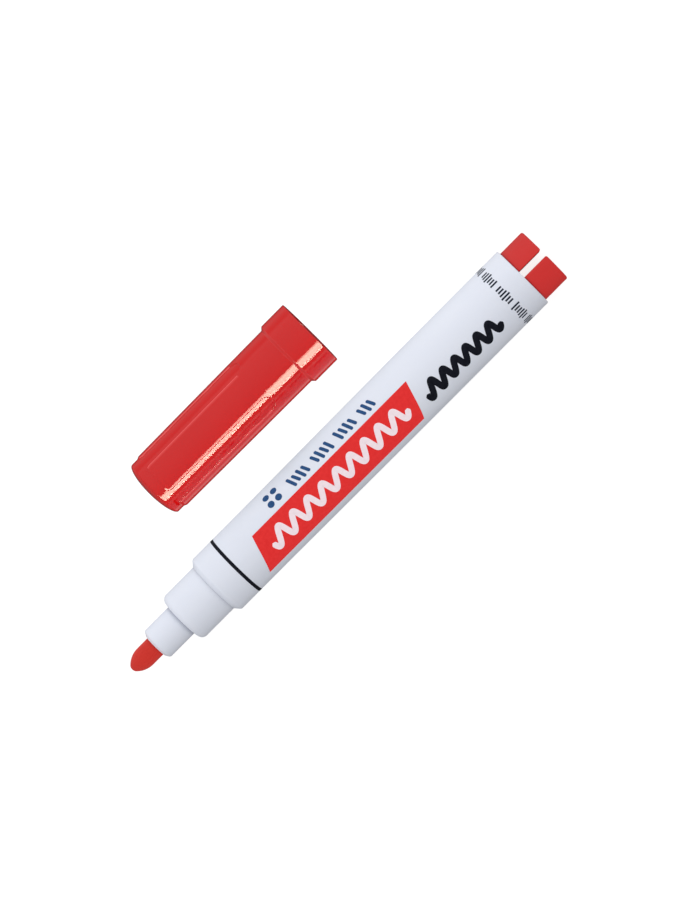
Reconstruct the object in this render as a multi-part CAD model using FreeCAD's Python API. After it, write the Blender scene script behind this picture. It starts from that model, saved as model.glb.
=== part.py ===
import FreeCAD, Part
import math
import os

# Whiteboard marker lying on a table, pulled open, with its cap laid beside it and parallel to it.
# Frame: +X along the marker from the nib to the end plug, +Y towards the cap, +Z up.
# The origin is the bottom centre of the whole box, on the table.
# Lengths are in millimetres. A "station" is the distance from the tip of the nib along +X.

V = FreeCAD.Vector
ALONG = V(1, 0, 0)
FULL_TURN = 360.0
PAST = 1.0                     # how far a cutting tool runs past the face it opens

# ---- marker: stations and outer radii -------------------------------------------------------
marker_length = 123.0
tube_front = 7.05              # front face of the narrow tube that holds the nib
neck_front = 14.87
barrel_front = 24.4
cap_stop_ring = 31.1           # printed ring where the rim of the fitted cap ends
barrel_rear = 116.5
nib_r = 2.4
tube_r = 3.88
neck_r = 6.07
barrel_front_r = 7.35
barrel_rear_r = 7.55
plug_r = 6.78

# ---- barrel ---------------------------------------------------------------------------------
nose_chamfer = 1.0             # length of the sloping shoulder behind the neck
nose_lip = 0.1                 # width of the flat lip around the neck
taper_start = 40.0             # the barrel swells gently between these two stations
taper_end = 84.0
nose_bore_length = 3.8
main_bore_r = 6.5
plug_seat_start = 108.4
rear_edge = 0.3
rib_count = 6
rib_tip_r = 5.78
rib_width = 0.9
rib_start = 36.0
rib_end = 101.0
bead_station = 112.4           # snap bead of the end plug, in its groove in the barrel
bead_half_length = 0.8
bead_height = 0.14

# ---- nib holder -----------------------------------------------------------------------------
flange_r = 6.46
flange_length = 1.8
neck_round = 1.4
tube_lip_r = 2.9               # flat front of the tube, the rest of it slopes back
tube_slope = 0.6
tube_round = 0.6
guide_end = 19.6               # the bore that guides the nib ends here, the neck is hollow behind
neck_hollow_r = 4.9
vent_count = 4                 # small air grooves along the nib
vent_r = 0.32
vent_start_angle = 45.0

# ---- nib and ink store ----------------------------------------------------------------------
nib_blunt_s = 0.24             # length of the blunted very tip
nib_shoulder_s = 3.9
nib_ogive_r = 5.0              # radius of the curve from the blunt tip to the shoulder
nib_taper_start = 33.0
nib_end = 40.0
nib_tail_r = 1.2
store_front = 31.0
store_rear = 103.2
store_r = 5.58
film_thickness = 0.16

# ---- end plug -------------------------------------------------------------------------------
plug_spigot_r = 6.1
plug_floor = 114.9             # the plug is a cup, and its floor starts here
plug_hollow_r = 5.2
slot_width = 1.6
slot_offset = 0.48
plug_round = 0.4

# ---- cap: stations when it lies beside the marker -------------------------------------------
cap_spacing = 23.48            # distance between the two axes
cap_length = 47.92
cap_mouth = 76.85
collar_length = 7.07           # with its sloping step
collar_step = 0.62             # length of that step along the cap
collar_r = 8.11
collar_round = 0.3
collar_bore_r = 7.37
mouth_lead = 0.35
seat_clearance = 0.1           # left between the shoulder in the cap and the barrel's nose
body_front_r = 7.46            # body radius beside the collar
body_rear_r = 7.22             # body radius beside the end section
end_section_length = 3.3
end_section_r = 6.92
end_step = 0.6                 # length of the slope between the end section and the body
end_dome_r = 21.0              # the closed end is a shallow dome
end_round = 0.9
cap_bore_r = 6.36
end_wall = 2.0                 # from the top of the dome to the flat floor inside
panel_count = 4
panel_start_angle = 39.0       # from +Z towards -Y
panel_half_width = 1.95
panel_length = 29.4           # from the end section to the tip of the panel's round end

# ---- inner cap: the seal inside the cap -----------------------------------------------------
seal_bore_r = 3.9
seal_wall = 0.9
seal_mouth_gap = 1.0           # what is left between the seal and the neck when the cap is on
seal_depth = 16.3
seal_floor = 1.0
seal_flange = 1.2
fin_count = 4
fin_width = 1.0

# ---- places that follow ---------------------------------------------------------------------
cap_closed_end = cap_mouth - cap_length
cap_travel_on = cap_mouth - cap_stop_ring
cap_body_end = cap_mouth - collar_length
end_section_end = cap_closed_end + end_section_length
seal_mouth = neck_front - seal_mouth_gap + cap_travel_on
marker_y = -(cap_spacing + collar_r - barrel_rear_r) / 2.0
cap_y = marker_y + cap_spacing
marker_z = barrel_rear_r
cap_z = collar_r


def turned(outline):
    """Solid turned about the X axis from an outline of (station, radius) corners."""
    corners = [V(station, radius, 0) for station, radius in outline]
    face = Part.Face(Part.makePolygon(corners + corners[:1]))
    return face.revolve(V(0, 0, 0), ALONG, FULL_TURN)


def rod(start, end, radius):
    """Plain cylinder between two stations."""
    return Part.makeCylinder(radius, end - start, V(start, 0, 0), ALONG)


def bar(start, end, low_y, high_y, low_z, high_z):
    """Block between two stations."""
    return Part.makeBox(end - start, high_y - low_y, high_z - low_z, V(start, low_y, low_z))


def around(solid, angle):
    """Copy turned about the X axis, from +Z towards -Y."""
    copy = solid.copy()
    copy.rotate(V(0, 0, 0), ALONG, angle)
    return copy


def rounded(solid, station, radius, size):
    """Round the circular rim that lies at this station with this radius."""
    rims = []
    for edge in solid.Edges:
        curve = edge.Curve
        if not isinstance(curve, Part.Circle):
            continue
        if abs(curve.Center.x - station) < 1e-4 and abs(curve.Radius - radius) < 1e-4:
            rims.append(edge)
    return solid.makeFillet(size, rims)


def laid_marker(solid):
    """Move a piece from the marker's own axis to its place on the table."""
    solid.translate(V(-marker_length / 2.0, marker_y, marker_z))
    return solid


def laid_cap(solid):
    """Move a piece from the cap's own axis to its place on the table."""
    solid.translate(V(-marker_length / 2.0, cap_y, cap_z))
    return solid


def bead(base_r):
    """Low ridge around the end plug, also the shape of its groove."""
    return turned([
        (bead_station - bead_half_length, base_r - bead_height),
        (bead_station - bead_half_length, base_r),
        (bead_station, base_r + bead_height),
        (bead_station + bead_half_length, base_r),
        (bead_station + bead_half_length, base_r - bead_height),
    ])


def make_barrel():
    """Long tube: sloping nose, gentle swelling, ribs that hold the ink store, seat for the plug."""
    bore_step = barrel_front + nose_bore_length
    shell = turned([
        (barrel_front, neck_r),
        (barrel_front, neck_r + nose_lip),
        (barrel_front + nose_chamfer, barrel_front_r),
        (taper_start, barrel_front_r),
        (taper_end, barrel_rear_r),
        (barrel_rear - rear_edge, barrel_rear_r),
        (barrel_rear, barrel_rear_r - rear_edge),
        (barrel_rear, plug_r),
        (plug_seat_start, plug_r),
        (plug_seat_start, main_bore_r),
        (bore_step, main_bore_r),
        (bore_step, neck_r),
    ])
    shell = rounded(shell, barrel_front + nose_chamfer, barrel_front_r, nose_chamfer / 2.0)
    shell = shell.cut(bead(plug_r))
    rib_root = main_bore_r + nose_lip
    rib = bar(rib_start, rib_end, -rib_width / 2.0, rib_width / 2.0, rib_tip_r - PAST, rib_root)
    rib = rib.cut(rod(rib_start - PAST, rib_end + PAST, rib_tip_r))
    for index in range(rib_count):
        shell = shell.fuse(around(rib, index * FULL_TURN / rib_count))
    return shell.removeSplitter()


def make_nib_holder():
    """Stepped nose piece: neck, nib tube and the flange that stops it inside the barrel."""
    flange_start = barrel_front + nose_bore_length
    holder = turned([
        (tube_front, nib_r),
        (tube_front, tube_lip_r),
        (tube_front + tube_slope, tube_r),
        (neck_front, tube_r),
        (neck_front, neck_r),
        (flange_start, neck_r),
        (flange_start, flange_r),
        (flange_start + flange_length, flange_r),
        (flange_start + flange_length, neck_hollow_r),
        (guide_end, neck_hollow_r),
        (guide_end, nib_r),
    ])
    holder = rounded(holder, neck_front, neck_r, neck_round)
    holder = rounded(holder, tube_front + tube_slope, tube_r, tube_round)
    vent = rod(tube_front - PAST, guide_end + PAST, vent_r)
    vent.translate(V(0, 0, nib_r))
    for index in range(vent_count):
        holder = holder.cut(around(vent, vent_start_angle + index * FULL_TURN / vent_count))
    return holder


def ogive(station):
    """Radius of the nib's pointed part."""
    return nib_r - nib_ogive_r + math.sqrt(nib_ogive_r ** 2 - (nib_shoulder_s - station) ** 2)


def make_nib():
    """Fibre nib: bullet tip, plain shank, and a tail that tapers into the ink store."""
    tip = V(0, 0, 0)
    blunt = V(nib_blunt_s, ogive(nib_blunt_s), 0)
    shoulder = V(nib_shoulder_s, nib_r, 0)
    blunt_bulge = V(nib_blunt_s / 4.0, ogive(nib_blunt_s) / 2.0, 0)
    ogive_bulge = V(nib_shoulder_s / 2.0, ogive(nib_shoulder_s / 2.0), 0)
    tail = [
        shoulder,
        V(nib_taper_start, nib_r, 0),
        V(nib_end, nib_tail_r, 0),
        V(nib_end, 0, 0),
        tip,
    ]
    edges = [
        Part.Arc(tip, blunt_bulge, blunt).toShape(),
        Part.Arc(blunt, ogive_bulge, shoulder).toShape(),
    ]
    for start, end in zip(tail, tail[1:]):
        edges.append(Part.makeLine(start, end))
    return Part.Face(Part.Wire(edges)).revolve(V(0, 0, 0), ALONG, FULL_TURN)


def make_ink_reservoir():
    """Fibre rod that holds the ink, with the hole that the nib's tail makes in it."""
    return turned([
        (store_front, 0),
        (store_front, store_r),
        (store_rear, store_r),
        (store_rear, 0),
    ]).cut(make_nib())


def make_reservoir_film():
    """Thin film wrapped around the ink store."""
    return turned([
        (store_front, store_r),
        (store_front, store_r + film_thickness),
        (store_rear, store_r + film_thickness),
        (store_rear, store_r),
    ])


def make_end_plug():
    """Cup pressed into the rear of the barrel, with a slot right across what stands out."""
    plug = turned([
        (store_rear + film_thickness, plug_hollow_r),
        (store_rear + film_thickness, plug_spigot_r),
        (plug_seat_start, plug_spigot_r),
        (plug_seat_start, plug_r),
        (marker_length, plug_r),
        (marker_length, 0),
        (plug_floor, 0),
        (plug_floor, plug_hollow_r),
    ])
    plug = rounded(plug, marker_length, plug_r, plug_round)
    plug = plug.fuse(bead(plug_r))
    low_y = slot_offset - slot_width / 2.0
    reach = plug_r + PAST
    slot = bar(barrel_rear, marker_length + PAST, low_y, low_y + slot_width, -reach, reach)
    return plug.cut(slot).removeSplitter()


def panel_cutter():
    """Tool for one sunk panel: its floor carries on from the end section and follows the draft."""
    far_end = end_section_end + panel_length
    slope = (body_front_r - body_rear_r) / (cap_body_end - end_section_end - end_step)
    floor = turned([
        (end_section_end, end_section_r),
        (end_section_end, collar_r),
        (far_end, collar_r),
        (far_end, end_section_r + slope * panel_length),
    ])
    round_start = far_end - panel_half_width
    corner_low = V(end_section_end, -panel_half_width, 0)
    corner_high = V(end_section_end, panel_half_width, 0)
    turn_low = V(round_start, -panel_half_width, 0)
    turn_high = V(round_start, panel_half_width, 0)
    outline = Part.Wire([
        Part.makeLine(corner_high, corner_low),
        Part.makeLine(corner_low, turn_low),
        Part.Arc(turn_low, V(far_end, 0, 0), turn_high).toShape(),
        Part.makeLine(turn_high, corner_high),
    ])
    return floor.common(Part.Face(outline).extrude(V(0, 0, collar_r)))


def make_cap():
    """Cap shell: collar with its bore, drafted body with sunk panels, and a domed closed end."""
    body_start = end_section_end + end_step
    dome_edge = cap_closed_end + end_dome_r - math.sqrt(end_dome_r ** 2 - end_section_r ** 2)
    seat_front = barrel_front - seat_clearance + cap_travel_on
    seat_rear = seat_front + nose_chamfer + seat_clearance
    shell = turned([
        (cap_closed_end, 0),
        (cap_closed_end, end_section_r),
        (end_section_end, end_section_r),
        (body_start, body_rear_r),
        (cap_body_end, body_front_r),
        (cap_body_end + collar_step, collar_r),
        (cap_mouth, collar_r),
        (cap_mouth, collar_bore_r + mouth_lead),
        (cap_mouth - mouth_lead, collar_bore_r),
        (seat_rear, collar_bore_r),
        (seat_front, cap_bore_r),
        (cap_closed_end + end_wall, cap_bore_r),
        (cap_closed_end + end_wall, 0),
    ])
    dome = Part.makeSphere(end_dome_r, V(cap_closed_end + end_dome_r, 0, 0))
    shell = shell.cut(rod(cap_closed_end - PAST, dome_edge + PAST, end_section_r + PAST).cut(dome))
    shell = rounded(shell, dome_edge, end_section_r, end_round)
    shell = rounded(shell, cap_mouth, collar_r, collar_round)
    for index in range(panel_count):
        shell = shell.cut(around(panel_cutter(), panel_start_angle + index * FULL_TURN / panel_count))
    return shell


def make_inner_cap():
    """Soft seal inside the cap: a cup that closes on the nib tube, with a flange and fins."""
    outer_r = seal_bore_r + seal_wall
    closed_end = seal_mouth - seal_depth
    seal = turned([
        (closed_end, 0),
        (closed_end, outer_r),
        (seal_mouth - seal_flange, outer_r),
        (seal_mouth - seal_flange, cap_bore_r),
        (seal_mouth, cap_bore_r),
        (seal_mouth, seal_bore_r),
        (closed_end + seal_floor, seal_bore_r),
        (closed_end + seal_floor, 0),
    ])
    fin_root = outer_r - seal_wall / 2.0
    fin = bar(closed_end, seal_mouth, -fin_width / 2.0, fin_width / 2.0, fin_root, cap_bore_r)
    limit = rod(closed_end - PAST, seal_mouth + PAST, cap_bore_r)
    for index in range(fin_count):
        seal = seal.fuse(around(fin, index * FULL_TURN / fin_count).common(limit))
    return seal.removeSplitter()


NODES = {
    "barrel": laid_marker(make_barrel()),
    "nib_holder": laid_marker(make_nib_holder()),
    "nib": laid_marker(make_nib()),
    "ink_reservoir": laid_marker(make_ink_reservoir()),
    "reservoir_film": laid_marker(make_reservoir_film()),
    "end_plug": laid_marker(make_end_plug()),
    "cap": laid_cap(make_cap()),
    "inner_cap": laid_cap(make_inner_cap()),
}

os.makedirs("parts", exist_ok=True)
for name, shape in NODES.items():
    shape.exportStep(os.path.join("parts", name + ".step"))
    box = shape.optimalBoundingBox(False)
    print("%-15s solids %d  valid %s  volume %8.1f  x %7.2f %7.2f  y %7.2f %7.2f  z %6.2f %6.2f" % (
        name, len(shape.Solids), shape.isValid(), shape.Volume,
        box.XMin, box.XMax, box.YMin, box.YMax, box.ZMin, box.ZMax))
print("cap travel to its seat %.2f" % cap_travel_on)
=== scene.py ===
import math

import bmesh
import bpy
from mathutils import Euler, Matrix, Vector


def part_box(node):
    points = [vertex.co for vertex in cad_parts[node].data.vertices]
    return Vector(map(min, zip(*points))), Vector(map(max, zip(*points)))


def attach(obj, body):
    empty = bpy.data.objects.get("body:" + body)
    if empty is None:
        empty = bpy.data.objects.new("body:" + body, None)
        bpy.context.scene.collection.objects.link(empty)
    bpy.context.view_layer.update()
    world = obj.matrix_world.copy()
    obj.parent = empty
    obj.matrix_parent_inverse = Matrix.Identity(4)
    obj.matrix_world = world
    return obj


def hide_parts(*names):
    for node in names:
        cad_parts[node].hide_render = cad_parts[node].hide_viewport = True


# Looks of a whiteboard marker that lies on a white table with its cap pulled off beside it.
# Metres, in the row's frame: +X from the nib to the end plug, +Y towards the cap, +Z up.

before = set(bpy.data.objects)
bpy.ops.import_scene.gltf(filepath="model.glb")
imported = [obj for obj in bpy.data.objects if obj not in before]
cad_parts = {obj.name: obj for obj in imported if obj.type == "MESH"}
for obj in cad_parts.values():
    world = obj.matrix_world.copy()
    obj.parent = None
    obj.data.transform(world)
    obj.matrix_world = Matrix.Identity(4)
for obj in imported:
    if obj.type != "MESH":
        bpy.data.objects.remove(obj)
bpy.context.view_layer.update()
MM = 0.001


# ---- places taken from the frame --------------------------------------------------------------

def axis_of(node):
    """Height and sideways place of the axis that a round node lies on."""
    low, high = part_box(node)
    return (low.y + high.y) / 2, (low.z + high.z) / 2


def radius_of(node):
    """Outer radius of a round node, the smaller of its two half widths."""
    low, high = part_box(node)
    return min(high.y - low.y, high.z - low.z) / 2


NIB_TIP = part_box("nib")[0].x
TUBE_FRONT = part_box("nib_holder")[0].x
BARREL_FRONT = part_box("barrel")[0].x
BARREL_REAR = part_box("barrel")[1].x
PLUG_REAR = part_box("end_plug")[1].x
PLUG_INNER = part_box("end_plug")[0].x
HOLDER_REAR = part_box("nib_holder")[1].x
NIB_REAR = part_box("nib")[1].x
CAP_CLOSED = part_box("cap")[0].x
CAP_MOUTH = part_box("cap")[1].x
MARKER_Y, MARKER_Z = axis_of("barrel")
CAP_Y, CAP_Z = axis_of("cap")
BARREL_R = radius_of("barrel")
COLLAR_R = radius_of("cap")
NIB_R = radius_of("nib")

# ---- the design's own sizes that the boxes don't give -------------------------------------------

# Nib and its holder
NIB_BLUNT = 0.24 * MM           # length of the blunted very tip
NIB_SHOULDER = 3.9 * MM         # length of the whole pointed part
NIB_OGIVE_R = 5.0 * MM
NIB_TAPER = 7.0 * MM
NIB_TAIL_R = 1.2 * MM
TUBE_LIP_R = 2.9 * MM
TUBE_SLOPE = 0.6 * MM
TUBE_R = 3.88 * MM
NECK_FRONT = NIB_TIP + 14.87 * MM
NECK_R = 6.07 * MM
NECK_ROUND = 1.4 * MM
GUIDE_END = NIB_TIP + 19.6 * MM
HOLDER_FLANGE_R = 6.46 * MM
HOLDER_HOLLOW_R = 4.9 * MM
VENT_COUNT = 4
VENT_REACH = 0.3 * MM
VENT_HALF_ANGLE = math.radians(8)

# Barrel
NOSE_R = BARREL_R - 0.2 * MM
NOSE_LIP = 0.1 * MM
NOSE_CHAMFER = 1.0 * MM
MAIN_BORE_R = 6.5 * MM
BORE_STEP = BARREL_FRONT + 3.8 * MM     # the holder's flange sits against this step in the bore
STOP_RING = NIB_TIP + 31.1 * MM
TAPER_START = NIB_TIP + 40.0 * MM
TAPER_END = NIB_TIP + 84.0 * MM
RIB_COUNT = 6
RIB_START = NIB_TIP + 36.0 * MM
RIB_END = NIB_TIP + 101.0 * MM
RIB_TIP_R = 5.78 * MM
RIB_HALF_WIDTH = 0.45 * MM

# End plug
PLUG_R = 6.78 * MM
PLUG_SEAT = NIB_TIP + 108.4 * MM
PLUG_FLOOR = NIB_TIP + 114.9 * MM
PLUG_HOLLOW_R = 5.2 * MM
PLUG_SPIGOT_R = 6.1 * MM
PLUG_ROUND = 0.4 * MM
SLOT_WIDTH = 1.6 * MM
SLOT_OFFSET = 0.48 * MM
SLOT_EDGE = 0.22 * MM

# Cap
END_SECTION_R = 6.92 * MM
END_DOME = 1.7 * MM             # how far the domed end reaches along the cap
END_SECTION_END = CAP_CLOSED + 3.3 * MM
BODY_START = END_SECTION_END + 0.6 * MM
BODY_REAR_R = 7.22 * MM
BODY_FRONT_R = 7.46 * MM
BODY_END = CAP_MOUTH - 7.07 * MM
COLLAR_STEP = 0.62 * MM
COLLAR_BORE_R = 7.37 * MM
COLLAR_BORE_END = CAP_MOUTH - 5.7 * MM
CAP_BORE_START = CAP_MOUTH - 6.8 * MM
CAP_BORE_END = CAP_CLOSED + 2.0 * MM
CAP_BORE_R = 6.36 * MM
PANEL_COUNT = 4
PANEL_SECTOR = 2 * math.pi / PANEL_COUNT
PANEL_ANGLE = math.radians(39.0)
PANEL_HALF_WIDTH = 1.95 * MM
PANEL_END = END_SECTION_END + 29.4 * MM
PANEL_CENTRE = PANEL_END - PANEL_HALF_WIDTH     # middle of a panel's round end

# Drawing
HAIR = 0.01 * MM                # gap left between pieces that touch
INK_LIFT = 0.012 * MM           # how far printed ink stands proud of the plastic
INK_SINK = 0.02 * MM            # how far it reaches into the plastic
ROUND_SEGMENTS = 192            # segments around the large round pieces


# ---- mesh helpers ------------------------------------------------------------------------------

def spread(low, high, steps):
    """Even steps from low to high, with both ends."""
    return [low + (high - low) * step / steps for step in range(steps + 1)]


def new_object(name, verts, faces, material, smooth=True):
    """Mesh object in the scene, with one material."""
    mesh = bpy.data.meshes.new(name)
    mesh.from_pydata(verts, [], faces)
    mesh.validate()
    mesh.update()
    if smooth:
        mesh.polygons.foreach_set("use_smooth", [True] * len(mesh.polygons))
    obj = bpy.data.objects.new(name, mesh)
    bpy.context.scene.collection.objects.link(obj)
    mesh.materials.append(material)
    return obj


def soften(outline, arc_steps=5):
    """Round the corners of an outline of (x, r, rounding). Each arc gets a holding point on both
    sides, so that the smooth shading of the flat stretches isn't pulled round the corner."""
    most_of_side = 0.42
    hold_share = 0.18
    points = []
    count = len(outline)
    for index, (x, r, rounding) in enumerate(outline):
        here = Vector((x, r))
        if rounding <= 0 or index in (0, count - 1):
            points.append(here)
            continue
        before = Vector(outline[index - 1][:2]) - here
        after = Vector(outline[index + 1][:2]) - here
        turn = before.angle(after)
        reach = rounding / math.tan(turn / 2)
        reach = min(reach, most_of_side * before.length, most_of_side * after.length)
        start = here + before.normalized() * reach
        end = here + after.normalized() * reach
        hold = hold_share * reach
        points.append(start + before.normalized() * hold)
        for step in range(arc_steps + 1):
            t = step / arc_steps
            points.append(start.lerp(here, t).lerp(here.lerp(end, t), t))
        points.append(end + after.normalized() * hold)
    return points


def quarter_round(centre, reach, steps):
    """Outline corners of a quarter of an ellipse, from its front up to its top, and a holding point
    behind it."""
    hold = 0.15 * MM
    corners = []
    for step in range(steps + 1):
        turn = math.pi / 2 * step / steps
        x = centre[0] - reach[0] * math.cos(turn)
        corners.append((x, centre[1] + reach[1] * math.sin(turn), 0))
    corners.append((centre[0] + hold, centre[1] + reach[1], 0))
    return corners


def revolve(name, outline, material, segments=ROUND_SEGMENTS, closed=False, radius_at=None):
    """Turn an outline about the marker's axis. The outline runs from axis to axis, or is a closed loop.
    radius_at(x, r, angle) may change the radius. The angle runs from +Z towards -Y."""
    points = soften(outline)
    ring_points = points if closed else points[1:-1]
    verts = []
    for point in ring_points:
        for segment in range(segments):
            angle = 2 * math.pi * segment / segments
            r = radius_at(point.x, point.y, angle) if radius_at else point.y
            verts.append((point.x, MARKER_Y - r * math.sin(angle), MARKER_Z + r * math.cos(angle)))
    faces = []
    rows = len(ring_points)
    for row in range(rows if closed else rows - 1):
        low = row * segments
        high = ((row + 1) % rows) * segments
        for segment in range(segments):
            after = (segment + 1) % segments
            faces.append((low + segment, low + after, high + after, high + segment))
    if not closed:
        first = len(verts)
        verts.append((points[0].x, MARKER_Y, MARKER_Z))
        verts.append((points[-1].x, MARKER_Y, MARKER_Z))
        last = (rows - 1) * segments
        for segment in range(segments):
            after = (segment + 1) % segments
            faces.append((first, after, segment))
            faces.append((first + 1, last + segment, last + after))
    obj = new_object(name, verts, faces, material)
    outward(obj)
    return obj


def outward(obj):
    """Make every face look out of its own closed shell."""
    mesh = bmesh.new()
    mesh.from_mesh(obj.data)
    bmesh.ops.recalc_face_normals(mesh, faces=mesh.faces)
    mesh.to_mesh(obj.data)
    mesh.free()


def barrel_radius(x):
    """Outer radius of the barrel behind its sloping nose."""
    share = (x - TAPER_START) / (TAPER_END - TAPER_START)
    return NOSE_R + (BARREL_R - NOSE_R) * min(max(share, 0.0), 1.0)


def thin_sheet(name, grids, material, lift=INK_LIFT):
    """Printed ink: each grid is rows of (x, angle) points on the barrel, made into a closed film."""
    verts = []
    faces = []
    for grid in grids:
        rows = len(grid)
        columns = len(grid[0])
        base = len(verts)
        for height in (lift, -INK_SINK):
            for row in grid:
                for x, angle in row:
                    r = barrel_radius(x) + height
                    verts.append((x, MARKER_Y - r * math.sin(angle), MARKER_Z + r * math.cos(angle)))
        under = base + rows * columns

        def at(row, column):
            return row * columns + column

        for row in range(rows - 1):
            for column in range(columns - 1):
                quad = [at(row, column), at(row, column + 1), at(row + 1, column + 1), at(row + 1, column)]
                faces.append(tuple(base + corner for corner in quad))
                faces.append(tuple(under + corner for corner in reversed(quad)))
        rim = [at(0, column) for column in range(columns)]
        rim += [at(row, columns - 1) for row in range(1, rows)]
        rim += [at(rows - 1, column) for column in range(columns - 2, -1, -1)]
        rim += [at(row, 0) for row in range(rows - 2, 0, -1)]
        for here, after in zip(rim, rim[1:] + rim[:1]):
            faces.append((base + here, under + here, under + after, base + after))
    obj = new_object(name, verts, faces, material, smooth=False)
    outward(obj)
    return obj


# ---- material helpers --------------------------------------------------------------------------

class Look:
    """A node material with a Principled shader and small helpers to feed it."""

    def __init__(self, name):
        self.material = bpy.data.materials.new(name)
        self.material.use_nodes = True
        self.tree = self.material.node_tree
        self.shader = self.tree.nodes["Principled BSDF"]
        self.place = self.tree.nodes.new("ShaderNodeTexCoord").outputs["Object"]

    def set(self, **values):
        """Set the shader's plain values; a name's underscores stand for spaces."""
        for name, value in values.items():
            self.shader.inputs[name.replace("_", " ")].default_value = value
        return self

    def wire(self, output, socket):
        """Feed one of the shader's sockets."""
        self.tree.links.new(output, self.shader.inputs[socket])

    def noise(self, scale, stretch=(1, 1, 1), detail=4.0, roughness=0.55, shift=0.0):
        """Noise between 0 and 1. scale is in features per metre, stretch makes them longer along an
        axis, and shift keeps two noises from lining up."""
        mapping = self.tree.nodes.new("ShaderNodeMapping")
        mapping.inputs["Scale"].default_value = [scale / value for value in stretch]
        mapping.inputs["Location"].default_value = (shift, shift * 1.7, shift * 2.3)
        self.tree.links.new(self.place, mapping.inputs["Vector"])
        noise = self.tree.nodes.new("ShaderNodeTexNoise")
        noise.inputs["Scale"].default_value = 1.0
        noise.inputs["Detail"].default_value = detail
        noise.inputs["Roughness"].default_value = roughness
        self.tree.links.new(mapping.outputs["Vector"], noise.inputs["Vector"])
        return noise.outputs["Fac"]

    def band(self, value, low, high, to_low=0.0, to_high=1.0):
        """Map a value from one range to another, held at both ends."""
        node = self.tree.nodes.new("ShaderNodeMapRange")
        node.inputs["From Min"].default_value = low
        node.inputs["From Max"].default_value = high
        node.inputs["To Min"].default_value = to_low
        node.inputs["To Max"].default_value = to_high
        self.tree.links.new(value, node.inputs["Value"])
        return node.outputs["Result"]

    def math(self, operation, first, second):
        """Result of a sum on two values; a value is an output or a number."""
        node = self.tree.nodes.new("ShaderNodeMath")
        node.operation = operation
        for socket, value in zip(node.inputs, (first, second)):
            if isinstance(value, (int, float)):
                socket.default_value = value
            else:
                self.tree.links.new(value, socket)
        return node.outputs["Value"]

    def add(self, first, second, share):
        """first plus a share of the output second."""
        return self.math("ADD", first, self.math("MULTIPLY", second, share))

    def mix(self, share, first, second):
        """Colour between two colours; a colour is an output or (r, g, b)."""
        node = self.tree.nodes.new("ShaderNodeMix")
        node.data_type = "RGBA"
        sockets = [socket for socket in node.inputs if socket.enabled]
        for socket, value in zip(sockets, (share, first, second)):
            if isinstance(value, tuple):
                socket.default_value = (*value, 1.0)
            elif isinstance(value, (int, float)):
                socket.default_value = value
            else:
                self.tree.links.new(value, socket)
        return [output for output in node.outputs if output.enabled][0]

    def bump(self, height, strength, distance):
        """Bend the shader's normal by a height between 0 and 1."""
        node = self.tree.nodes.new("ShaderNodeBump")
        node.inputs["Strength"].default_value = strength
        node.inputs["Distance"].default_value = distance
        self.tree.links.new(height, node.inputs["Height"])
        self.wire(node.outputs["Normal"], "Normal")

    def corners(self, distance):
        """1 on open surfaces, towards 0 in tight corners and seams."""
        node = self.tree.nodes.new("ShaderNodeAmbientOcclusion")
        node.inputs["Distance"].default_value = distance
        node.samples = 8        # rays per shading point
        return node.outputs["AO"]

    def attribute(self, name):
        """A value that the mesh carries; 0 on a mesh without it."""
        node = self.tree.nodes.new("ShaderNodeAttribute")
        node.attribute_name = name
        return node.outputs["Fac"]

    def edges(self):
        """1 on outer edges, 0 elsewhere."""
        node = self.tree.nodes.new("ShaderNodeNewGeometry")
        return self.band(node.outputs["Pointiness"], 0.52, 0.6)


def tone_between(look, scale, dark, light):
    """Colour that drifts between two close tones, in patches drawn out along X."""
    return look.mix(look.band(look.noise(scale, stretch=(3, 1, 1)), 0.3, 0.7), dark, light)


def white_plastic():
    """Satin white barrel plastic, rubbed smoother by fingers, with fine scratches along it."""
    look = Look("satin_white_plastic").set(IOR=1.49, Subsurface_Weight=0.12, Subsurface_Scale=0.0012)
    look.shader.inputs["Subsurface Radius"].default_value = (1.0, 0.9, 0.85)
    colour = tone_between(look, 70, (0.735, 0.765, 0.86), (0.77, 0.80, 0.885))
    # Painted shade: the colour darkens towards a dim blue-grey in corners and seams, where the ambient
    # occlusion node finds them closed in.
    unshaded = look.band(look.corners(1.3 * MM), 0.35, 0.95)
    look.wire(look.mix(unshaded, (0.27, 0.29, 0.37), colour), "Base Color")
    grain = look.noise(5200, detail=2.0)
    rubbed = look.band(look.noise(90, stretch=(5, 1, 1), shift=3.0), 0.42, 0.68)
    scratches = look.band(look.noise(9000, stretch=(60, 1, 1), detail=1.0, shift=7.0), 0.66, 0.8)
    rough = look.add(look.band(grain, 0.3, 0.7, 0.43, 0.52), rubbed, -0.09)
    rough = look.add(rough, scratches, 0.12)
    rough = look.add(rough, look.edges(), -0.12)
    look.wire(rough, "Roughness")
    height = look.add(look.math("MULTIPLY", grain, 0.6), scratches, -0.5)
    look.bump(height, 0.22, 0.012 * MM)
    return look.material


def tint(colour, factor, lift=0.0):
    """Colour made darker or lighter by a factor, with a little white added."""
    return tuple(factor * value + lift for value in colour)


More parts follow.
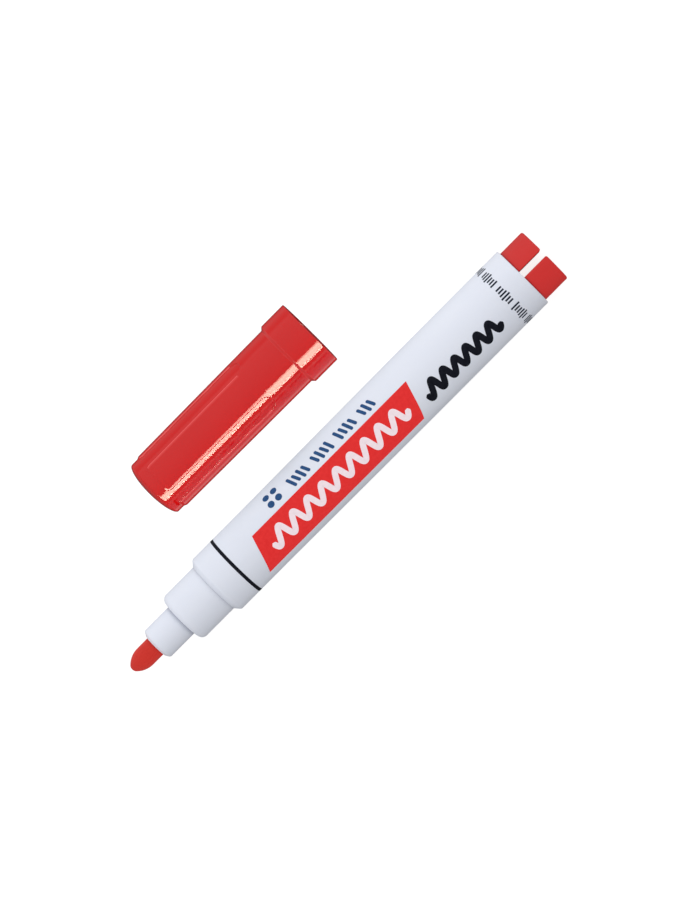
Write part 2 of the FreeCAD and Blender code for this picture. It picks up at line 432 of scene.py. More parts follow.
def red_plastic(name, dark, light, smooth, dull, peel):
    """Moulded red plastic. smooth and dull are the lowest and highest roughness, peel the waviness."""
    look = Look(name).set(IOR=1.5, Specular_IOR_Level=0.35)
    colour = tone_between(look, 110, dark, light)
    # Painted shade: the colour darkens in corners and seams, where the ambient occlusion node finds them
    # closed in.
    unshaded = look.band(look.corners(0.5 * MM), 0.25, 0.7)
    colour = look.mix(unshaded, tint(dark, 0.8), colour)
    colour = look.mix(look.math("MULTIPLY", look.edges(), 0.15), colour, tint(light, 1.15, 0.05))
    # Paler where the mesh's 'rubbed' values say: edge wear with a painted highlight along the panels'
    # edges, and painted light on the collar's step.
    colour = look.mix(look.attribute("rubbed"), colour, tint(light, 1.2, 0.08))
    colour = look.mix(look.attribute("shaded"), colour, tint(dark, 0.4))
    look.wire(colour, "Base Color")
    smudge = look.band(look.noise(140, detail=6.0, shift=5.0), 0.45, 0.7)
    scratches = look.band(look.noise(8000, stretch=(45, 1, 1), detail=1.0, shift=9.0), 0.68, 0.8)
    rough = look.add(look.band(smudge, 0.0, 1.0, smooth, dull), scratches, 0.10)
    look.wire(rough, "Roughness")
    waves = look.noise(420, detail=2.0, shift=2.0)
    grain = look.noise(6500, detail=2.0, shift=4.0)
    matt = dull - 0.05      # a polished mould leaves almost no grain
    height = look.add(look.math("MULTIPLY", waves, peel), grain, 0.25 * matt)
    height = look.add(height, scratches, -0.16 * matt)
    look.bump(height, 0.25, 0.012 * MM)
    return look.material


def fibre(name, dark, light, along, across):
    """Bonded fibre that runs along X, soaked with ink. along and across are a strand's sizes."""
    look = Look(name).set(IOR=1.4, Sheen_Weight=0.04, Sheen_Roughness=0.6)
    strands = look.noise(1.0 / across, stretch=(along / across, 1, 1), detail=3.0, roughness=0.7)
    pores = look.noise(0.6 / across, detail=5.0, shift=6.0)
    share = look.band(look.add(strands, pores, 0.6), 0.55, 1.05)
    look.wire(look.mix(share, dark, light), "Base Color")
    look.wire(look.band(pores, 0.3, 0.7, 0.72, 0.95), "Roughness")
    look.bump(look.add(strands, pores, 0.5), 0.6, 0.03 * MM)
    return look.material


def printed_ink(name, dark, light):
    """Screen-printed ink: a thin coat with slightly uneven cover."""
    look = Look(name).set(IOR=1.48, Specular_IOR_Level=0.07)
    cover = look.band(look.noise(1400, detail=5.0), 0.3, 0.7)
    look.wire(look.mix(cover, dark, light), "Base Color")
    look.wire(look.band(look.noise(3600, shift=1.0), 0.3, 0.7, 0.34, 0.48), "Roughness")
    look.bump(look.noise(5200, detail=2.0, shift=2.0), 0.2, 0.01 * MM)
    return look.material


def soft_seal():
    """Uncoloured soft plastic of the inner cap."""
    look = Look("natural_polyethylene").set(IOR=1.51, Subsurface_Weight=0.35, Subsurface_Scale=0.002)
    tone = look.band(look.noise(200), 0.3, 0.7)
    look.wire(look.mix(tone, (0.70, 0.69, 0.64), (0.78, 0.77, 0.73)), "Base Color")
    look.wire(look.band(look.noise(2500, shift=2.0), 0.3, 0.7, 0.38, 0.5), "Roughness")
    look.bump(look.noise(4000, detail=2.0), 0.2, 0.01 * MM)
    return look.material


def clear_film():
    """Thin film around the ink store, tinted a little by the ink."""
    look = Look("clear_film").set(IOR=1.45, Transmission_Weight=0.85)
    look.wire(look.mix(look.noise(300), (0.86, 0.80, 0.80), (0.94, 0.92, 0.92)), "Base Color")
    look.wire(look.band(look.noise(900), 0.3, 0.7, 0.08, 0.2), "Roughness")
    look.bump(look.noise(700, stretch=(6, 1, 1)), 0.3, 0.02 * MM)
    return look.material


def table_top():
    """Matt white acrylic, lit a little from below like a light table."""
    look = Look("white_table").set(IOR=1.4, Specular_IOR_Level=0.15, Emission_Strength=0.8)
    look.shader.inputs["Emission Color"].default_value = (1.0, 1.0, 1.0, 1.0)
    look.wire(look.mix(look.noise(30), (0.34, 0.34, 0.34), (0.36, 0.36, 0.36)), "Base Color")
    look.wire(look.band(look.noise(500), 0.3, 0.7, 0.75, 0.85), "Roughness")
    return look.material


WHITE = white_plastic()
CAP_RED = red_plastic("glossy_red_plastic", (0.565, 0.0035, 0.0035), (0.60, 0.006, 0.0055),
                      smooth=0.03, dull=0.06, peel=0.06)
PLUG_RED = red_plastic("satin_red_plastic", (0.58, 0.014, 0.012), (0.63, 0.019, 0.017),
                       smooth=0.42, dull=0.52, peel=0.3)
NIB_RED = fibre("red_nib_fibre", (0.50, 0.012, 0.006), (0.68, 0.036, 0.022),
                along=1.6 * MM, across=0.07 * MM)
STORE_RED = fibre("red_store_fibre", (0.42, 0.02, 0.02), (0.62, 0.10, 0.09),
                  along=6.0 * MM, across=0.12 * MM)
INK_BLACK = printed_ink("black_print", (0.004, 0.005, 0.010), (0.009, 0.010, 0.017))
INK_RED = printed_ink("red_print", (0.72, 0.026, 0.026), (0.78, 0.034, 0.033))
INK_BLUE = printed_ink("blue_print", (0.020, 0.068, 0.185), (0.030, 0.090, 0.23))
INK_NAVY = printed_ink("navy_print", (0.012, 0.018, 0.034), (0.022, 0.030, 0.050))
INK_WHITE = printed_ink("white_print", (0.84, 0.71, 0.76), (0.90, 0.77, 0.82))
SEAL = soft_seal()
FILM = clear_film()

# Pieces that some of the lights shine on alone.
CAP_GROUP = bpy.data.collections.new("cap_light_group")
SIDE_GROUP = bpy.data.collections.new("side_light_group")


# ---- the marker --------------------------------------------------------------------------------

def make_barrel():
    """White tube, open at both ends, with its two bores inside."""
    outline = [
        (BARREL_FRONT, NECK_R + HAIR, 0),
        (BARREL_FRONT, NECK_R + NOSE_LIP, 0.08 * MM),
        (BARREL_FRONT + NOSE_CHAMFER, NOSE_R, 0.7 * MM),
        (TAPER_START, NOSE_R, 4 * MM),
        (TAPER_END, BARREL_R, 4 * MM),
        (BARREL_REAR, BARREL_R, 0.3 * MM),
        (BARREL_REAR, PLUG_R + 2 * HAIR, 0.1 * MM),
        (PLUG_SEAT, PLUG_R + 2 * HAIR, 0.05 * MM),
        (PLUG_SEAT, MAIN_BORE_R, 0.05 * MM),
        (BORE_STEP, MAIN_BORE_R, 0.05 * MM),
        (BORE_STEP, NECK_R + HAIR, 0),
    ]
    barrel = revolve("barrel_shell", outline, WHITE, closed=True)
    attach(barrel, "marker_body")
    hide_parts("barrel")


def make_barrel_ribs():
    """Ribs inside the barrel that keep air around the ink store. Their ends and tips are narrower."""
    root = MAIN_BORE_R + 0.1 * MM       # a little inside the barrel's wall
    lead_in = 1.0 * MM
    end_height = 0.6
    tip_width = 0.75
    stations = [(RIB_START, end_height), (RIB_START + lead_in, 1.0), (RIB_END - lead_in, 1.0),
                (RIB_END, end_height)]
    verts = []
    faces = []
    for index in range(RIB_COUNT):
        angle = 2 * math.pi * index / RIB_COUNT
        out = Vector((0, -math.sin(angle), math.cos(angle)))
        side = Vector((0, math.cos(angle), math.sin(angle)))
        base = len(verts)
        for x, height in stations:
            tip = root - (root - RIB_TIP_R) * height
            tip_half = RIB_HALF_WIDTH * tip_width
            section = [(root, RIB_HALF_WIDTH), (tip, tip_half), (tip, -tip_half), (root, -RIB_HALF_WIDTH)]
            for radius, offset in section:
                verts.append(Vector((x, MARKER_Y, MARKER_Z)) + out * radius + side * offset)
        corners = 4
        for row in range(len(stations) - 1):
            for column in range(corners):
                a = base + row * corners + column
                b = base + row * corners + (column + 1) % corners
                faces.append((a, b, b + corners, a + corners))
        last = base + (len(stations) - 1) * corners
        faces.append(tuple(base + column for column in range(corners)))
        faces.append(tuple(last + column for column in reversed(range(corners))))
    ribs = new_object("barrel_ribs", verts, faces, WHITE, smooth=False)
    outward(ribs)
    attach(ribs, "marker_body")


def vented_bore(x, r, angle):
    """Radius of the nib holder with small air grooves along the bore that guides the nib."""
    if r > NIB_R + 0.15 * MM or x > GUIDE_END + 0.1 * MM:
        return r
    pitch = 2 * math.pi / VENT_COUNT
    nearest = (angle - pitch / 2) % pitch
    nearest = min(nearest, pitch - nearest)
    share = max(0.0, 1 - (nearest / VENT_HALF_ANGLE) ** 2)
    return r + VENT_REACH * math.sqrt(share)


def make_nib_holder():
    """Stepped white nose: the narrow tube round the nib, the wide neck, and the flange in the barrel."""
    outline = [
        (TUBE_FRONT, NIB_R + HAIR, 0.08 * MM),
        (TUBE_FRONT, TUBE_LIP_R, 0.12 * MM),
        (TUBE_FRONT + TUBE_SLOPE, TUBE_R, 0.6 * MM),
        (NECK_FRONT, TUBE_R, 0.1 * MM),
    ]
    outline += quarter_round((NECK_FRONT + NECK_ROUND, NECK_R - NECK_ROUND), (NECK_ROUND, NECK_ROUND), 10)
    outline += [
        (BORE_STEP, NECK_R, 0.05 * MM),
        (BORE_STEP, HOLDER_FLANGE_R, 0.1 * MM),
        (HOLDER_REAR, HOLDER_FLANGE_R, 0.2 * MM),
        (HOLDER_REAR, HOLDER_HOLLOW_R, 0.15 * MM),
        (GUIDE_END, HOLDER_HOLLOW_R, 0.2 * MM),
        (GUIDE_END, NIB_R + HAIR, 0.15 * MM),
    ]
    holder = revolve("nose_piece", outline, WHITE, closed=True, radius_at=vented_bore)
    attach(holder, "marker_body")
    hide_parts("nib_holder")


def ogive(along):
    """Radius of the nib's pointed part at a distance from its tip."""
    return NIB_R - NIB_OGIVE_R + math.sqrt(NIB_OGIVE_R ** 2 - (NIB_SHOULDER - along) ** 2)


def worn_tip(x, r, angle):
    """Radius of the nib with its tip rubbed a little out of round, and strands standing proud."""
    if x > TUBE_FRONT:
        return r
    near_tip = max(0.0, 1 - (x - NIB_TIP) / NIB_SHOULDER)
    strands = math.sin(angle * 37) * 0.5 + math.sin(angle * 61 + 1.3) * 0.5
    strand_lift = 0.006 * MM * min(1.0, r / NIB_R)
    swell = math.sin(angle * 3 + 0.7) * 0.012 * MM * near_tip
    return r * (1 - 0.006 * near_tip) + strands * strand_lift + swell


def make_nib():
    """Bullet nib with a blunted tip, and a tail that tapers into the ink store."""
    outline = [(NIB_TIP, 0, 0)]
    for share in spread(0.0, 1.0, 6)[1:]:
        outline.append((NIB_TIP + NIB_BLUNT * share ** 2, ogive(NIB_BLUNT) * share, 0))
    for along in spread(NIB_BLUNT, NIB_SHOULDER, 20)[1:]:
        outline.append((NIB_TIP + along, ogive(along), 0))
    outline += [
        (TUBE_FRONT + 0.3 * MM, NIB_R, 0),
        (NIB_REAR - NIB_TAPER, NIB_R, 0),
        (NIB_REAR, NIB_TAIL_R, 0.2 * MM),
        (NIB_REAR, 0, 0),
    ]
    nib = revolve("fibre_nib", outline, NIB_RED, segments=160, radius_at=worn_tip)
    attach(nib, "marker_body")
    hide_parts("nib")
    SIDE_GROUP.objects.link(nib)


def half_disc(radius, flat, sign):
    """Points around the part of a disc on one side of the line y = flat, with rounded corners."""
    centre_y = flat + sign * SLOT_EDGE
    corner_z = math.sqrt((radius - SLOT_EDGE) ** 2 - centre_y ** 2)
    corner_angle = math.atan2(corner_z, sign * centre_y)
    corner_steps = 4
    points = []
    for angle in spread(-corner_angle, corner_angle, 72):
        points.append((sign * radius * math.cos(angle), radius * math.sin(angle)))
    for angle in spread(corner_angle, math.pi, corner_steps)[1:]:
        y = centre_y + sign * SLOT_EDGE * math.cos(angle)
        points.append((y, corner_z + SLOT_EDGE * math.sin(angle)))
    for z in spread(corner_z, -corner_z, 14)[1:-1]:
        points.append((flat, z))
    for angle in spread(math.pi, 2 * math.pi - corner_angle, corner_steps)[:-1]:
        y = centre_y + sign * SLOT_EDGE * math.cos(angle)
        points.append((y, -corner_z + SLOT_EDGE * math.sin(angle)))
    return points


def lug_rings():
    """Stations of a lug from inside the barrel to its flat end, and how far each is set in."""
    rings = [(BARREL_REAR - 0.4 * MM, 0.0), (BARREL_REAR + 0.6 * MM, 0.0), (PLUG_REAR - 2.2 * MM, 0.0)]
    rings.append((PLUG_REAR - PLUG_ROUND - 0.15 * MM, 0.0))
    for turn in spread(0.0, math.pi / 2, 6):
        x = PLUG_REAR - PLUG_ROUND + PLUG_ROUND * math.sin(turn)
        rings.append((x, PLUG_ROUND * (1 - math.cos(turn))))
    rings.append((PLUG_REAR, PLUG_ROUND + 0.12 * MM))
    rings.append((PLUG_REAR, PLUG_ROUND + 1.6 * MM))
    return rings


def add_lug(sign, verts, faces):
    """One half of the plug's slotted head: a half-round block with soft edges.
    sign is +1 for the half towards +Y and -1 for the other."""
    wall = SLOT_OFFSET + sign * SLOT_WIDTH / 2
    rings = lug_rings()
    base = len(verts)
    for x, inset in rings:
        flat = wall + sign * min(inset, 0.25 * MM + 0.6 * inset)
        section = half_disc(PLUG_R - inset, flat, sign)
        for y, z in section:
            verts.append((x, MARKER_Y + y, MARKER_Z + z))
    columns = len(section)
    for row in range(len(rings) - 1):
        for column in range(columns):
            a = base + row * columns + column
            b = base + row * columns + (column + 1) % columns
            faces.append((a, b, b + columns, a + columns))
    faces.append(tuple(base + column for column in range(columns)))
    top = base + (len(rings) - 1) * columns
    faces.append(tuple(top + column for column in reversed(range(columns))))


def make_end_plug():
    """Red plug: a cup inside the barrel, and two half-round lugs with the slot between them."""
    cup_end = BARREL_REAR - 2 * HAIR
    outline = [
        (PLUG_FLOOR, 0, 0),
        (PLUG_FLOOR, PLUG_HOLLOW_R, 0.3 * MM),
        (PLUG_INNER, PLUG_HOLLOW_R, 0.15 * MM),
        (PLUG_INNER, PLUG_SPIGOT_R, 0.25 * MM),
        (PLUG_SEAT, PLUG_SPIGOT_R, 0.1 * MM),
        (PLUG_SEAT, PLUG_R, 0.15 * MM),
        (cup_end, PLUG_R, 0.05 * MM),
        (cup_end, 0, 0),
    ]
    cup = revolve("end_plug_cup", outline, PLUG_RED)
    verts = []
    faces = []
    add_lug(1, verts, faces)
    add_lug(-1, verts, faces)
    lugs = new_object("end_plug_lugs", verts, faces, PLUG_RED)
    outward(lugs)
    for piece in (cup, lugs):
        SIDE_GROUP.objects.link(piece)
        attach(piece, "marker_body")
    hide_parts("end_plug")


# ---- the cap -----------------------------------------------------------------------------------

def smooth_step(value):
    """0 below 0, 1 above 1, and an S-shaped rise between them."""
    value = min(max(value, 0.0), 1.0)
    return value * value * (3 - 2 * value)


def panel_reach(x, offset):
    """Half width at x of the sunk panel's outline, moved outwards by offset. It flares at the rear."""
    if x > PANEL_CENTRE:
        return math.sqrt(max(0.0, (PANEL_HALF_WIDTH + offset) ** 2 - (x - PANEL_CENTRE) ** 2))
    flare_start = END_SECTION_END + 0.2 * MM
    flare = 0.3 * MM * (1 - smooth_step((x - flare_start) / (1.1 * MM)))
    return PANEL_HALF_WIDTH + offset + flare


def panel_depth_share(x, sideways):
    """How deep the panel is at this place: 0 on the land, 1 on the floor. The wall is softer on the
    side of the smaller angles than on the other."""
    side = min(max(2 * sideways / PANEL_HALF_WIDTH, -1.0), 1.0)
    wall = 0.08 * MM - 0.04 * MM * side
    if x <= PANEL_CENTRE:
        beyond = abs(sideways) - panel_reach(x, 0.0)
    else:
        beyond = math.hypot(sideways, x - PANEL_CENTRE) - PANEL_HALF_WIDTH
    return 1 - smooth_step((beyond + wall) / (2 * wall))


def edge_paling(x, sideways):
    """How much the land beside a panel's straight edges is painted paler, as edge wear and as a painted
    highlight along the edge.
    """
    if x < BODY_START or x > PANEL_CENTRE:
        return 0.0
    from_edge = abs(sideways) - panel_reach(x, 0.0)
    if not 0.0 < from_edge < 0.2 * MM:
        return 0.0
    return 1.0 if from_edge < 0.15 * MM else 0.5


def panel_floor(x):
    """Radius of the panels' floor, which carries on from the end section and follows the draft."""
    slope = (BODY_FRONT_R - BODY_REAR_R) / (BODY_END - BODY_START)
    return END_SECTION_R + slope * max(0.0, x - END_SECTION_END)


def cap_angles(x, radius):
    """Angles of the grid's columns at x. They follow the panels' edges, so the edges stay crisp."""
    offsets = [0.19, 0.12, 0.08, 0.04, 0.0, -0.04, -0.08, -0.12, -0.19]     # mm outside a panel's edge
    least = 0.03 * MM       # keeps the columns apart past the panel's round end
    floor_steps = 10
    land_steps = 14
    halves = []
    for index, offset in enumerate(offsets):
        reach = max(panel_reach(x, offset * MM), least * (len(offsets) - index))
        halves.append(math.asin(min(0.9, reach / radius)))
    column = [-half for half in halves]
    column += spread(-halves[-1], halves[-1], floor_steps)[1:-1]
    column += reversed(halves)
    column += spread(halves[0], PANEL_SECTOR - halves[0], land_steps)[1:-1]
    angles = []
    for panel in range(PANEL_COUNT):
        centre = PANEL_ANGLE + panel * PANEL_SECTOR
        angles += [centre + angle for angle in column]
    return angles


def cap_profile():
    """Stations and radii of the cap from its closed end over the outside and back inside."""
    outline = quarter_round((CAP_CLOSED + END_DOME, 0), (END_DOME, END_SECTION_R), 20)
    outline += [
        (END_SECTION_END, END_SECTION_R, 0.5 * MM),
        (BODY_START, BODY_REAR_R, 0.5 * MM),
        (BODY_END, BODY_FRONT_R, 0.2 * MM),
        (BODY_END + COLLAR_STEP, COLLAR_R, 0.22 * MM),
        (CAP_MOUTH, COLLAR_R, 0.3 * MM),
        (CAP_MOUTH, COLLAR_BORE_R + 0.3 * MM, 0.12 * MM),
        (CAP_MOUTH - 0.35 * MM, COLLAR_BORE_R, 0.1 * MM),
        (COLLAR_BORE_END, COLLAR_BORE_R, 0.2 * MM),
        (CAP_BORE_START, CAP_BORE_R, 0.2 * MM),
        (CAP_BORE_END, CAP_BORE_R, 0.5 * MM),
        (CAP_BORE_END, 0, 0),
    ]
    points = soften(outline)
    dense = [points[0]]
    for before, here in zip(points, points[1:]):
        dense += fill_between(before, here)
        dense.append(here)
    return dense


def fill_between(before, here):
    """Extra rows on the long stretches, closer together where the panels end."""
    length = (here - before).length
    if length < 1.0 * MM:
        return []
    row_pitch = 1.6 * MM
    count = max(2, int(length / row_pitch))
    shares = {step / count for step in range(1, count)}
    outside = min(before.y, here.y) > END_SECTION_R - HAIR
    if outside and here.x > before.x and here.x > BODY_START:
        stations = [BODY_START + step * 0.22 * MM for step in range(6)]
        for turn in spread(0.0, math.pi / 2, 18):
            stations.append(PANEL_CENTRE + (PANEL_HALF_WIDTH + 0.16 * MM) * math.sin(turn))
        shares.update((x - before.x) / (here.x - before.x) for x in stations)
    return [before.lerp(here, share) for share in sorted(shares) if 0.001 < share < 0.999]


def add_values(obj, name, values):
    """Give each point of a mesh a number that its material reads."""
    attribute = obj.data.attributes.new(name, "FLOAT", "POINT")
    attribute.data.foreach_set("value", values)


def make_cap():
    """Cap shell as a grid of rings around its axis, pressed in at the sunk panels."""
    points = cap_profile()
    rings = points[1:-1]
    widest = max(range(len(rings)), key=lambda index: rings[index].x)
    past_panels = PANEL_END + 0.2 * MM
    step_middle = BODY_END + COLLAR_STEP / 2
    verts = []
    rubbed = []
    shaded = []
    for index, point in enumerate(rings):
        outside = index <= widest
        if outside:
            station = min(max(point.x, END_SECTION_END + 0.4 * MM), past_panels)
            angles = cap_angles(station, max(point.y, END_SECTION_R))
        else:
            angles = cap_angles(past_panels, END_SECTION_R)
        on_step = outside and abs(point.x - step_middle) < 0.6 * COLLAR_STEP
        for angle in angles:
            r = point.y
            # Painted light: the collar's step slope is painted a little paler, against the shade that
            # falls on it.
            paling = 0.18 if on_step else 0.0
            if outside and END_SECTION_END < point.x < PANEL_END + 0.5 * MM:
                local = (angle - PANEL_ANGLE + PANEL_SECTOR / 2) % PANEL_SECTOR - PANEL_SECTOR / 2
                sideways = r * math.sin(local)
                r -= max(0.0, r - panel_floor(point.x)) * panel_depth_share(point.x, sideways)
                # Beside the panels' straight edges: edge wear and a painted highlight.
                paling = edge_paling(point.x, sideways)
            rubbed.append(paling)
            shaded.append(0.0 if outside else 1.0)
            verts.append((point.x, CAP_Y - r * math.sin(angle), CAP_Z + r * math.cos(angle)))
    columns = len(verts) // len(rings)
    faces = []
    for row in range(len(rings) - 1):
        for column in range(columns):
            a = row * columns + column
            b = row * columns + (column + 1) % columns
            faces.append((a, b, b + columns, a + columns))
    first = len(verts)
    verts.append((points[0].x, CAP_Y, CAP_Z))
    verts.append((points[-1].x, CAP_Y, CAP_Z))
    last = (len(rings) - 1) * columns
    for column in range(columns):
        after = (column + 1) % columns
        faces.append((first, after, column))
        faces.append((first + 1, last + column, last + after))
    cap = new_object("cap_shell", verts, faces, CAP_RED)
    # The 'rubbed' values paint the cap paler: edge wear with a painted highlight beside the panels' edges,
    # and painted light on the collar's step.
    add_values(cap, "rubbed", rubbed + [0.0, 0.0])
    add_values(cap, "shaded", shaded + [0.0, 1.0])
    outward(cap)
    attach(cap, "cap_body")
    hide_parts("cap")
    CAP_GROUP.objects.link(cap)
    cap.visible_diffuse = False    # keeps its red off the white barrel
    cap.visible_glossy = False


# ---- prints on the barrel ------------------------------------------------------------------------

def slanted_patch(low_x, high_x, low_angle, high_angle, slant, rows, columns):
    """Patch between two angles. It slides back along X by slant on the way to the high angle."""
    grid = []
    for row in range(rows + 1):
        share = row / rows
        angle = low_angle + (high_angle - low_angle) * share
        grid.append([(x - slant * share, angle) for x in spread(low_x, high_x, columns)])
    return grid


def stroke(path, width):
    """Pen stroke of even width with round ends along a path of (x, arc) points on the barrel."""
    points = [Vector(point) for point in path]
    travelled = [0.0]
    for before, here in zip(points, points[1:]):
        travelled.append(travelled[-1] + (here - before).length)
    grid = []
    for index, point in enumerate(points):
        before = points[max(0, index - 1)]
        after = points[min(len(points) - 1, index + 1)]
        along = (after - before).normalized()
        side = Vector((-along.y, along.x))
        to_end = min(travelled[index], travelled[-1] - travelled[index])
        left = max(0.0, 1 - to_end / (width / 2))
        half = width / 2 * math.sqrt(max(0.004, 1 - left ** 2))
        row = []
        for share in spread(-1.0, 1.0, 4):
            place = point + side * half * share
            row.append((place.x, place.y / barrel_radius(place.x)))
        grid.append(row)
    return grid


def wave_path(low_x, high_x, middle_arc, height, turns, slant, fade=0.0):
    """Hand-drawn wave: even turns that lean by slant, and get lower by the share fade on the way."""
    steps_per_turn = 40
    path = []
    for share in spread(0.0, 1.0, int(turns * steps_per_turn)):
        swing = math.sin(2 * math.pi * turns * share)
        unsteady = 1 + 0.06 * math.sin(9 * share + 1)
        x = low_x + (high_x - low_x) * share - slant * swing
        path.append((x, middle_arc + height * (1 - fade * share) * unsteady * swing))
    return path


def hatch_row(low_x, high_x, middle_arc, height, width, pitch, lean):
    """Short slanted strokes side by side, every second one shorter. Every fifth place stays empty."""
    strokes = []
    count = int((high_x - low_x) / pitch)
    for index in range(count + 1):
        if index % 5 == 4:
            continue
        x = low_x + (high_x - low_x) * index / count
        reach = height / 2 * (0.82 if index % 2 else 1.0)
        path = [(x + lean * share, middle_arc + reach * share) for share in spread(-1.0, 1.0, 24)]
        strokes.append(stroke(path, width))
    return strokes


def stop_ring():
    """Black ring where the closed cap ends."""
    half = 0.37 * MM
    outline = [
        (STOP_RING - half, NOSE_R - INK_SINK, 0),
        (STOP_RING - half, NOSE_R + INK_LIFT, 0),
        (STOP_RING + half, NOSE_R + INK_LIFT, 0),
        (STOP_RING + half, NOSE_R - INK_SINK, 0),
    ]
    return revolve("print_stop_ring", outline, INK_BLACK, closed=True)


def banner():
    """Red banner with slanted ends."""
    low, high = math.radians(-14.6), math.radians(56.4)
    slant = 2.85 * MM
    patch = slanted_patch(NIB_TIP + 38.2 * MM, NIB_TIP + 83.8 * MM, low, high, slant, rows=40, columns=60)
    piece = thin_sheet("print_banner", [patch], INK_RED)
    SIDE_GROUP.objects.link(piece)
    return piece


def banner_wave():
    """Pale wave along the middle of the banner, printed over it."""
    middle = BARREL_R * math.radians(17.5)
    path = wave_path(NIB_TIP + 40.2 * MM, NIB_TIP + 80.0 * MM, middle, 1.72 * MM, 9.5, slant=0.28 * MM)
    piece = thin_sheet("print_banner_wave", [stroke(path, 1.3 * MM)], INK_WHITE, 2 * INK_LIFT)
    SIDE_GROUP.objects.link(piece)
    return piece


def scribble():
    """Black scribble behind the banner."""
    middle = BARREL_R * math.radians(25)
    path = wave_path(NIB_TIP + 84.9 * MM, NIB_TIP + 106.5 * MM, middle, 1.7 * MM, 6.5,
                     slant=0.25 * MM, fade=0.12)
    return thin_sheet("print_scribble", [stroke(path, 1.4 * MM)], INK_BLACK)


def blue_marks():
    """Blue hatching beside the banner, with four dots in front of it."""
    middle = BARREL_R * math.radians(-32)
    marks = hatch_row(NIB_TIP + 51.9 * MM, NIB_TIP + 75.4 * MM, middle, height=2.9 * MM,
                      width=0.74 * MM, pitch=1.32 * MM, lean=0.5 * MM)
    dots_x = NIB_TIP + 46.8 * MM
    dots_arc = BARREL_R * math.radians(-38)
    apart = 1.1 * MM
    dot_r = 0.8 * MM
    for across in (-apart, apart):
        for along in (-apart, apart):
            x = dots_x + along
            path = [(x + reach, dots_arc + across) for reach in spread(-dot_r, dot_r, 24)]
            marks.append(stroke(path, 2 * dot_r))
    return thin_sheet("print_blue_marks", marks, INK_BLUE)


def ticks():
    """Row of small ticks around the rear of the barrel, long and short in turn, with gaps."""
    middle = NIB_TIP + 111.0 * MM
    half_angle = 0.19 * MM / BARREL_R
    half_lengths = (1.15, 0.75, 0.75, 0.95)
    patches = []
    for index, angle in enumerate(spread(math.radians(-85), math.radians(85), 31)):
        if index % 7 == 5:
            continue
        half = half_lengths[index % len(half_lengths)] * MM
        patches.append(slanted_patch(middle - half, middle + half, angle - half_angle,
                                     angle + half_angle, slant=0.0, rows=1, columns=2))
    return thin_sheet("print_ticks", patches, INK_NAVY)


def make_prints():
    """Printed marks. They fill the places of lettering with plain strokes, hatching and dots."""
    pieces = [
        (stop_ring(), "print_black"),
        (banner(), "print_red"),
        (banner_wave(), "barrel_plastic"),
        (scribble(), "print_black"),
        (blue_marks(), "print_blue"),
        (ticks(), "print_black"),
    ]
    for piece, slot in pieces:
        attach(piece, "marker_body")


# ---- stage -------------------------------------------------------------------------------------

def make_floor():
    """Wide pale table top. It gives the pieces no light, and keeps none from them."""
    half = 3.0
    steps = 8
    places = spread(-half, half, steps)
    verts = [(x, y, 0.0) for y in places for x in places]
    faces = []
    for row in range(steps):
        for column in range(steps):
            a = row * (steps + 1) + column
            faces.append((a, a + 1, a + steps + 2, a + steps + 1))
    floor = new_object("table", verts, faces, table_top())
    floor.visible_diffuse = False
    floor.visible_glossy = False
    floor.visible_shadow = False


DOME_LEVEL = 0.80               # radiance of the dome at its middle
DOME_SLOPE = (0.0, 0.345, 0.2)  # how much brighter it gets towards +Y and towards the top
TABLE_SHARE = 0.55              # how much of the dome reflections see below the table's level
FOOT_SHARE = 0.25               # and how much of that is left straight down, beside the pieces' feet
TABLE_EDGE = (-0.10, 0.15)      # heights of direction between which the first change happens
FOOT_EDGE = (-0.95, -0.55)      # and the second
# Strips that only the cap reflects: from angle, to angle (degrees from +Z towards -Y), radiance.
STRIPS = {"strip_edge": (36.0, 40.5, 11.0), "strip_core": (40.5, 62.3, 20.0)}
STRIP_LENGTH = 3.2
LIGHT_DISTANCE = 0.9            # from the cap to each light
WHITE_LIGHT = (1.0, 1.0, 1.0)
WARM_LIGHT = (1.0, 0.97, 0.78)


def make_world():
    """Soft white dome, brighter towards +Y and up. Reflections see it dark below the table's level,
    as black flags beside the table would make it."""
    world = bpy.data.worlds.new("soft_dome")
    bpy.context.scene.world = world
    world.use_nodes = True
    tree = world.node_tree

    def math_node(operation, first, second):
        node = tree.nodes.new("ShaderNodeMath")
        node.operation = operation
        for socket, value in zip(node.inputs, (first, second)):
            if isinstance(value, float):
                socket.default_value = value
            else:
                tree.links.new(value, socket)
        return node.outputs["Value"]

    place = tree.nodes.new("ShaderNodeTexCoord").outputs["Generated"]
    slope = tree.nodes.new("ShaderNodeVectorMath")
    slope.operation = "DOT_PRODUCT"
    slope.inputs[1].default_value = DOME_SLOPE
    tree.links.new(place, slope.inputs[0])
    level = math_node("ADD", slope.outputs["Value"], DOME_LEVEL)

    split = tree.nodes.new("ShaderNodeSeparateXYZ")
    tree.links.new(place, split.inputs["Vector"])

    def fade(low, high, least):
        """From least at the height low to 1 at the height high, by where the direction points."""
        node = tree.nodes.new("ShaderNodeMapRange")
        node.interpolation_type = "SMOOTHSTEP"
        node.inputs["From Min"].default_value = low
        node.inputs["From Max"].default_value = high
        node.inputs["To Min"].default_value = least
        tree.links.new(split.outputs["Z"], node.inputs["Value"])
        return node.outputs["Result"]

    seen = math_node("MULTIPLY", fade(*TABLE_EDGE, TABLE_SHARE), fade(*FOOT_EDGE, FOOT_SHARE))
    glossy = tree.nodes.new("ShaderNodeLightPath").outputs["Is Glossy Ray"]
    hidden = math_node("MULTIPLY", glossy, math_node("SUBTRACT", 1.0, seen))
    share = math_node("SUBTRACT", 1.0, hidden)
    background = tree.nodes["Background"]
    background.inputs["Color"].default_value = (1.0, 1.0, 1.0, 1.0)
    tree.links.new(math_node("MULTIPLY", level, share), background.inputs["Strength"])


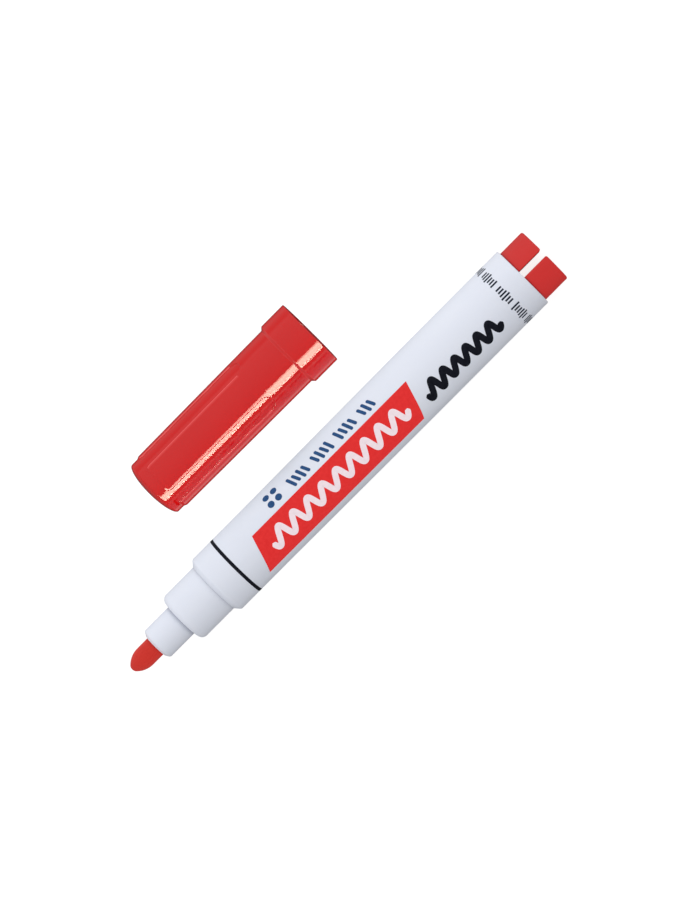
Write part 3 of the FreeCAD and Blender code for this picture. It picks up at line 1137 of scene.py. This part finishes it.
def group_light(name, group, degrees, size, radiance, colour):
    """Soft box that lights one group only, seen from the cap at an angle from +Z towards -Y."""
    angle = math.radians(degrees)
    data = bpy.data.lights.new(name, "AREA")
    data.shape = "RECTANGLE"
    data.size, data.size_y = size
    data.energy = radiance * math.pi * size[0] * size[1]
    data.color = colour
    light = bpy.data.objects.new(name, data)
    cap_centre = Vector(((CAP_CLOSED + CAP_MOUTH) / 2, CAP_Y, CAP_Z))
    light.location = cap_centre + LIGHT_DISTANCE * Vector((0.0, -math.sin(angle), math.cos(angle)))
    light.rotation_euler = (angle, 0.0, 0.0)
    bpy.context.scene.collection.objects.link(light)
    light.light_linking.receiver_collection = group
    light.light_linking.blocker_collection = group
    return light


def make_lights():
    """Strips side by side and a dim edge light that the cap reflects, and fill on the red pieces."""
    for name, (low, high, radiance) in STRIPS.items():
        width = 2 * LIGHT_DISTANCE * math.tan(math.radians(high - low) / 2)
        size = (STRIP_LENGTH, width)
        strip = group_light(name, CAP_GROUP, (low + high) / 2, size, radiance, WARM_LIGHT)
        strip.visible_diffuse = False
    edge = group_light("edge", CAP_GROUP, 110.0, (0.7, 1.26), 0.8, WHITE_LIGHT)
    edge.visible_diffuse = False
    for name, group, radiance in (("cap_fill", CAP_GROUP, 2.0), ("side_fill", SIDE_GROUP, 1.0)):
        fill = group_light(name, group, 80.0, (1.0, 0.8), radiance, WHITE_LIGHT)
        fill.visible_glossy = False


CAMERA_PLACE = (0.03996, -0.01934, 1.0)
CAMERA_TURN = (-0.020653, 0.031087, -0.788115)
FOCAL_IN_TALL_SIDES = 5.25279   # focal length over the picture's taller side


def make_camera():
    """Long lens looking straight down, turned so that the marker lies from corner to corner."""
    data = bpy.data.cameras.new("camera")
    data.sensor_fit = "AUTO"
    data.sensor_width = 36.0
    data.lens = data.sensor_width * FOCAL_IN_TALL_SIDES
    data.clip_start = 0.01
    data.dof.use_dof = False
    camera = bpy.data.objects.new("camera", data)
    camera.location = CAMERA_PLACE
    camera.rotation_euler = Euler(CAMERA_TURN)
    bpy.context.scene.collection.objects.link(camera)
    bpy.context.scene.camera = camera


def dress(node, material):
    """Give a CAD node that stays its material."""
    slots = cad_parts[node].data.materials
    slots.clear()
    slots.append(material)


make_camera()
make_barrel()
make_barrel_ribs()
make_nib_holder()
make_nib()
make_end_plug()
make_cap()
make_prints()
dress("inner_cap", SEAL)
dress("ink_reservoir", STORE_RED)
dress("reservoir_film", FILM)
make_floor()
make_world()
make_lights()
bpy.context.scene.view_settings.view_transform = "Standard"
